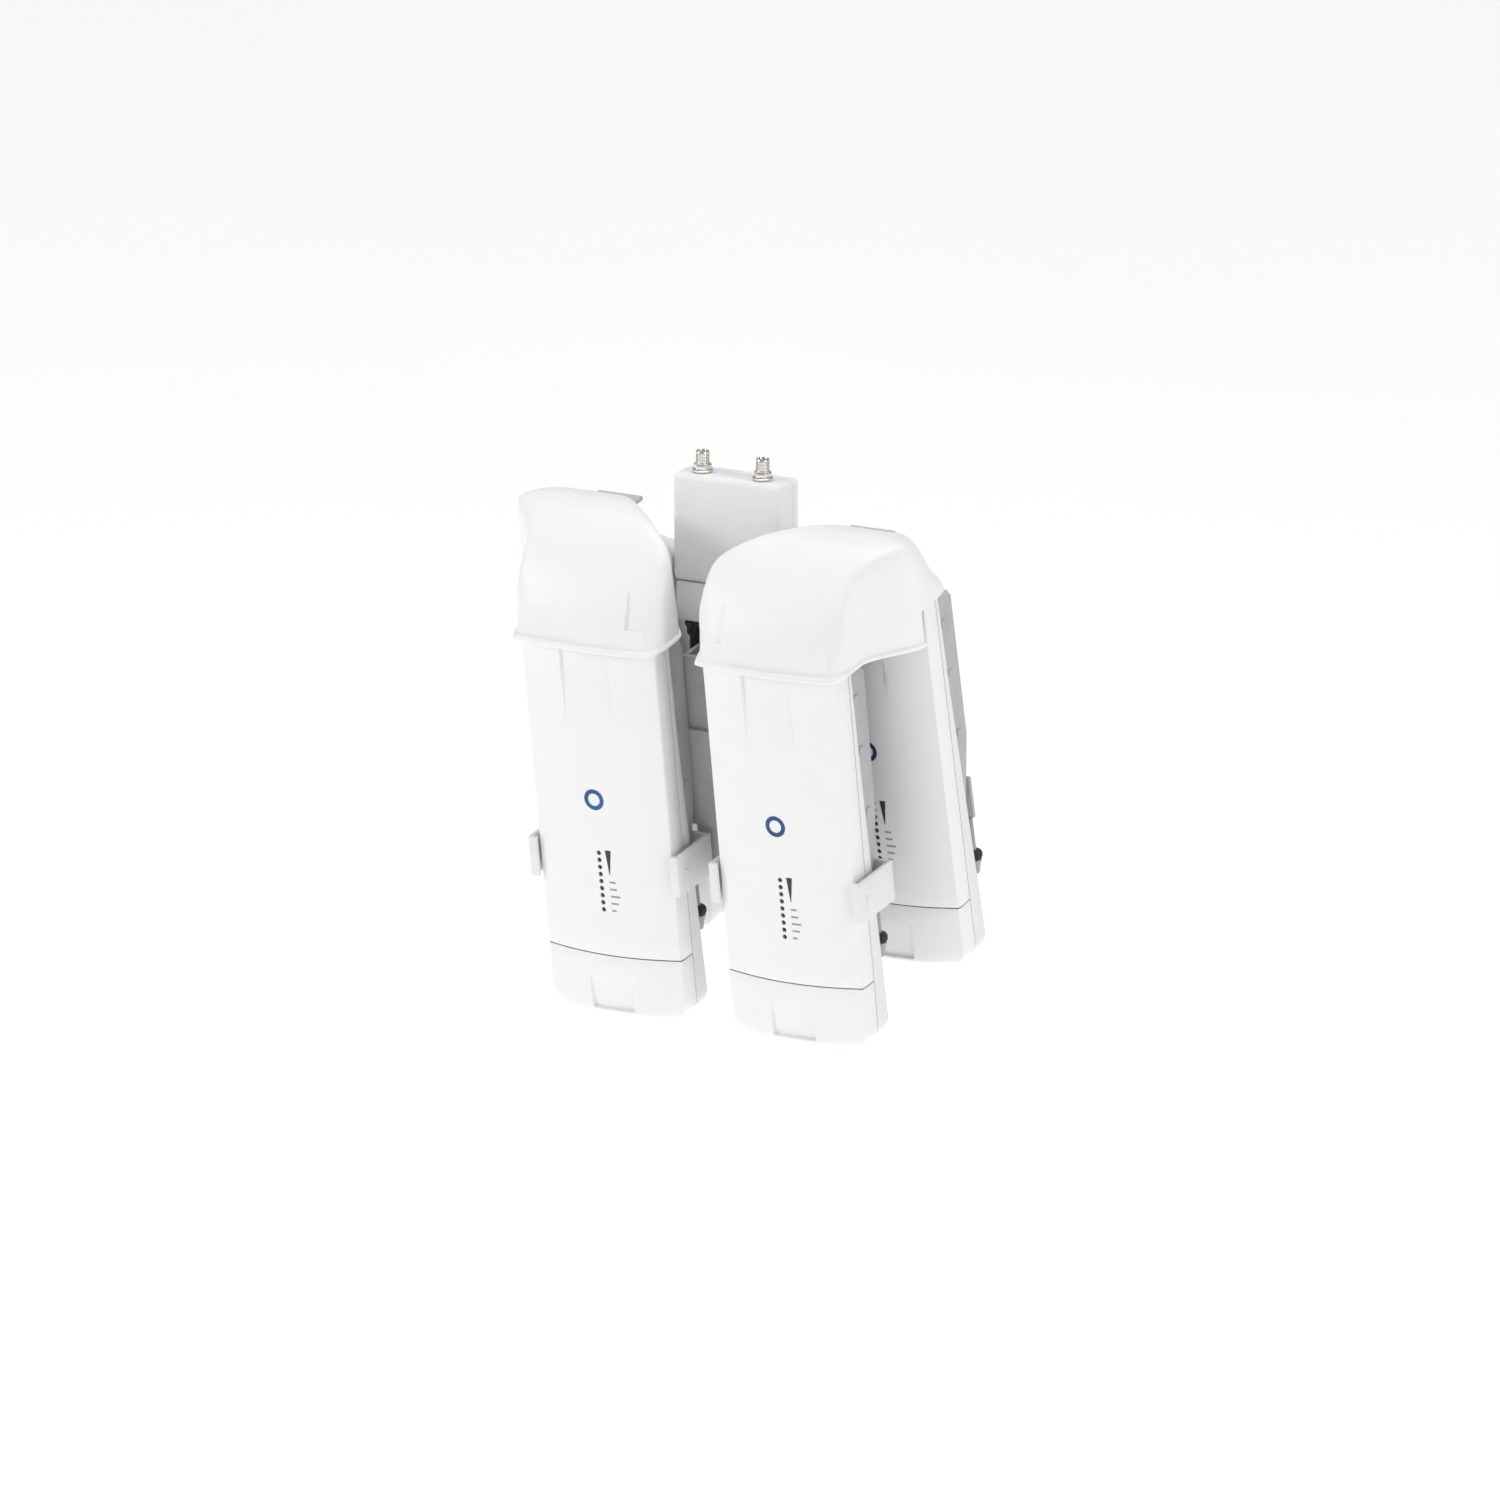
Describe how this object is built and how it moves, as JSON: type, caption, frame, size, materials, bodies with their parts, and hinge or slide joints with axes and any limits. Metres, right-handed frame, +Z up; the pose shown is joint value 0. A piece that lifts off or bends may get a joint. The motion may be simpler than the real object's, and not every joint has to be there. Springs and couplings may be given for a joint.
{
  "type": "outdoor wireless bridge",
  "caption": "White outdoor radio bridge: slim radios in two rows under shared hoods, with a central multiplexer box and coax jacks on top.",
  "frame": {"origin": "centre of the flat rear face of the mount block, where the assembly is bolted up", "axes": "+X to the right seen from the front, +Y backwards out of the mount face, +Z up; the radomes face -Y"},
  "size_m": [0.2462, 0.1436, 0.3109],
  "materials": {
    "white_shell": "fine matt white moulded plastic",
    "rear_shell": "fine matt off-white moulded plastic",
    "box_shell": "satin light grey moulded plastic",
    "bracket": "matt mid grey moulded plastic",
    "dark_plastic": "matt near-black moulded plastic",
    "nickel": "bright nickel plate",
    "board": "green solder mask"
  },
  "bodies": {
    "frame": {"radio_front_left_radome": "white_shell", "radio_front_left_rear_case": "rear_shell", "radio_front_left_light_pipe": "dark_plastic", "radio_front_left_circuit_board": "board", "radio_front_left_antenna_jack_a": "nickel", "radio_front_left_antenna_jack_b": "nickel", "bracket_front_left": "bracket", "cradle_front_left": "bracket", "radio_front_right_radome": "white_shell", "radio_front_right_rear_case": "rear_shell", "radio_front_right_light_pipe": "dark_plastic", "radio_front_right_circuit_board": "board", "radio_front_right_antenna_jack_a": "nickel", "radio_front_right_antenna_jack_b": "nickel", "bracket_front_right": "bracket", "cradle_front_right": "bracket", "radio_rear_left_radome": "white_shell", "radio_rear_left_rear_case": "rear_shell", "radio_rear_left_light_pipe": "dark_plastic", "radio_rear_left_circuit_board": "board", "radio_rear_left_antenna_jack_a": "nickel", "radio_rear_left_antenna_jack_b": "nickel", "bracket_rear_left": "bracket", "cradle_rear_left": "bracket", "radio_rear_right_radome": "white_shell", "radio_rear_right_rear_case": "rear_shell", "radio_rear_right_light_pipe": "dark_plastic", "radio_rear_right_circuit_board": "board", "radio_rear_right_antenna_jack_a": "nickel", "radio_rear_right_antenna_jack_b": "nickel", "bracket_rear_right": "bracket", "cradle_rear_right": "bracket", "multiplexer_output_jack_left": "nickel", "multiplexer_cable_gland_left": "dark_plastic", "multiplexer_output_jack_right": "nickel", "multiplexer_cable_gland_right": "dark_plastic", "multiplexer_front_cover": "box_shell", "multiplexer_rear_housing": "box_shell", "multiplexer_base": "box_shell", "multiplexer_circuit_board": "board", "multiplexer_bracket": "bracket", "front_cross_plate": "bracket", "rear_cross_plate": "bracket", "central_spine": "dark_plastic", "mount_block": "dark_plastic", "mount_bolt_1": "nickel", "mount_bolt_2": "nickel", "mount_bolt_3": "nickel", "mount_bolt_4": "nickel"},
    "hood_left": {"hood_left": "white_shell"},
    "hood_right": {"hood_right": "white_shell"},
    "cable_door_front_left": {"radio_front_left_cable_door": "white_shell"},
    "thumb_screw_front_left": {"thumb_screw_front_left": "dark_plastic"},
    "cable_door_front_right": {"radio_front_right_cable_door": "white_shell"},
    "thumb_screw_front_right": {"thumb_screw_front_right": "dark_plastic"},
    "cable_door_rear_left": {"radio_rear_left_cable_door": "white_shell"},
    "thumb_screw_rear_left": {"thumb_screw_rear_left": "dark_plastic"},
    "cable_door_rear_right": {"radio_rear_right_cable_door": "white_shell"},
    "thumb_screw_rear_right": {"thumb_screw_rear_right": "dark_plastic"}
  },
  "joints": [
    {"name": "hood_left_lift", "type": "slide", "parent": "frame", "child": "hood_left", "axis": [0, -0.196, 0.9806], "range_m": [0, 0.06]},
    {"name": "hood_right_lift", "type": "slide", "parent": "frame", "child": "hood_right", "axis": [0, -0.196, 0.9806], "range_m": [0, 0.06]},
    {"name": "cable_door_front_left_slide", "type": "slide", "parent": "frame", "child": "cable_door_front_left", "axis": [0, 0.1599, -0.9871], "range_m": [0, 0.04]},
    {"name": "cable_door_front_right_slide", "type": "slide", "parent": "frame", "child": "cable_door_front_right", "axis": [0, 0.1599, -0.9871], "range_m": [0, 0.04]},
    {"name": "cable_door_rear_left_slide", "type": "slide", "parent": "frame", "child": "cable_door_rear_left", "axis": [0, 0.2199, -0.9755], "range_m": [0, 0.04]},
    {"name": "cable_door_rear_right_slide", "type": "slide", "parent": "frame", "child": "cable_door_rear_right", "axis": [0, 0.2199, -0.9755], "range_m": [0, 0.04]},
    {"name": "thumb_screw_front_left_turn", "type": "hinge", "parent": "frame", "child": "thumb_screw_front_left", "pos_m": [-0.021, -0.07631, -0.11042], "axis": [0, -0.1599, 0.9871], "continuous": true},
    {"name": "thumb_screw_front_right_turn", "type": "hinge", "parent": "frame", "child": "thumb_screw_front_right", "pos_m": [0.091, -0.07631, -0.11042], "axis": [0, -0.1599, 0.9871], "continuous": true},
    {"name": "thumb_screw_rear_left_turn", "type": "hinge", "parent": "frame", "child": "thumb_screw_rear_left", "pos_m": [-0.043, -0.01232, -0.07649], "axis": [0, -0.2199, 0.9755], "continuous": true},
    {"name": "thumb_screw_rear_right_turn", "type": "hinge", "parent": "frame", "child": "thumb_screw_rear_right", "pos_m": [0.113, -0.01232, -0.07649], "axis": [0, -0.2199, 0.9755], "continuous": true}
  ]
}
